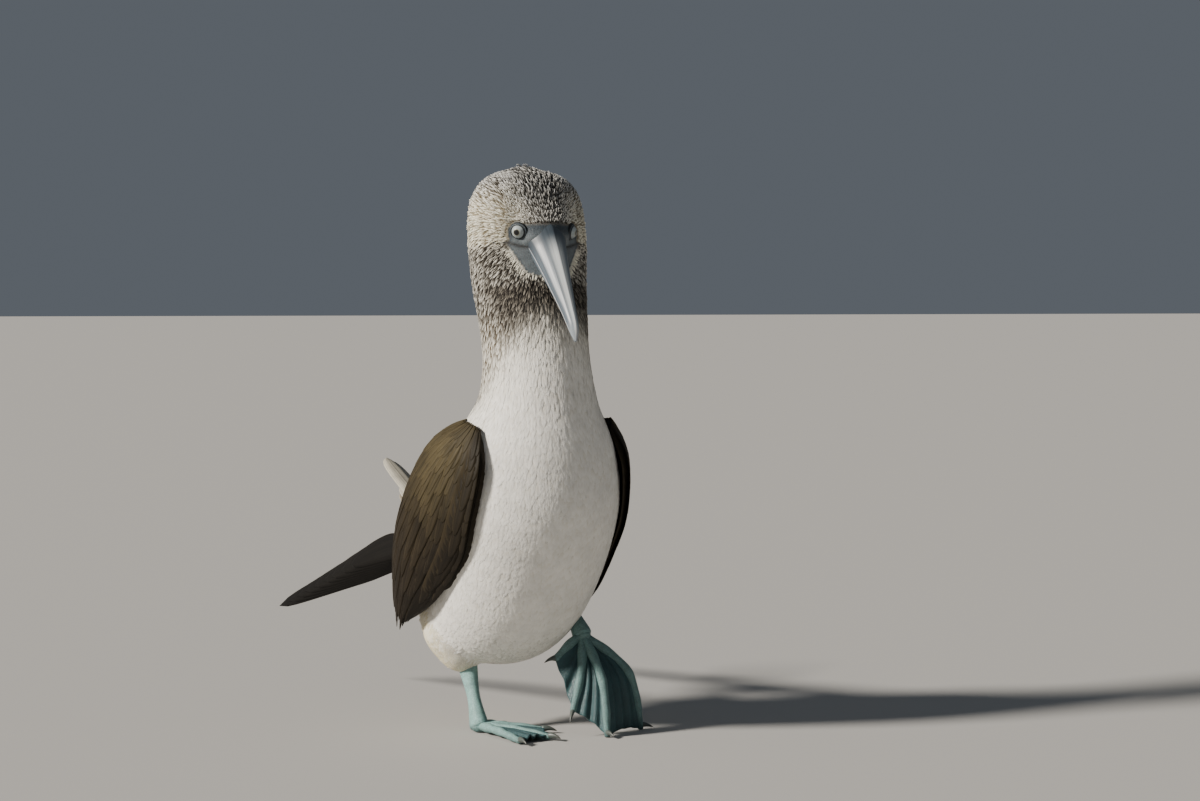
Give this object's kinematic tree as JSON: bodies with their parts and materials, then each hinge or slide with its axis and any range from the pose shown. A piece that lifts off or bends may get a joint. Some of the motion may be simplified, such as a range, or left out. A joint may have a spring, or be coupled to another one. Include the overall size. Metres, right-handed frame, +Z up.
{
  "type": "blue-footed booby model",
  "caption": "Still life-size model of a blue-footed booby in mid-step, one webbed foot flat and the other trailing on its toe tips, wings folded and tail cocked.",
  "frame": {"origin": "under the standing right foot's heel pad, on the ground", "axes": "+Z up, the bird faces -Y and its left side is +X"},
  "size_m": [0.2006, 0.4329, 0.443],
  "materials": {
    "white_plumage": "soft matt",
    "streaked_plumage": "soft matt",
    "wing_feathers": "silky matt",
    "tail_feathers": "silky matt",
    "bill": "satin",
    "eye": "wet gloss",
    "foot_skin": "satin"
  },
  "bodies": {
    "root": {"torso": "white_plumage", "neck": "streaked_plumage", "head": "streaked_plumage", "bill_upper": "bill", "bill_lower": "bill", "tail": "tail_feathers", "eye_left": "eye", "wing_left": "wing_feathers", "thigh_left": "white_plumage", "shank_left": "foot_skin", "foot_left": "foot_skin", "eye_right": "eye", "wing_right": "wing_feathers", "thigh_right": "white_plumage", "shank_right": "foot_skin", "foot_right": "foot_skin"}
  },
  "joints": []
}
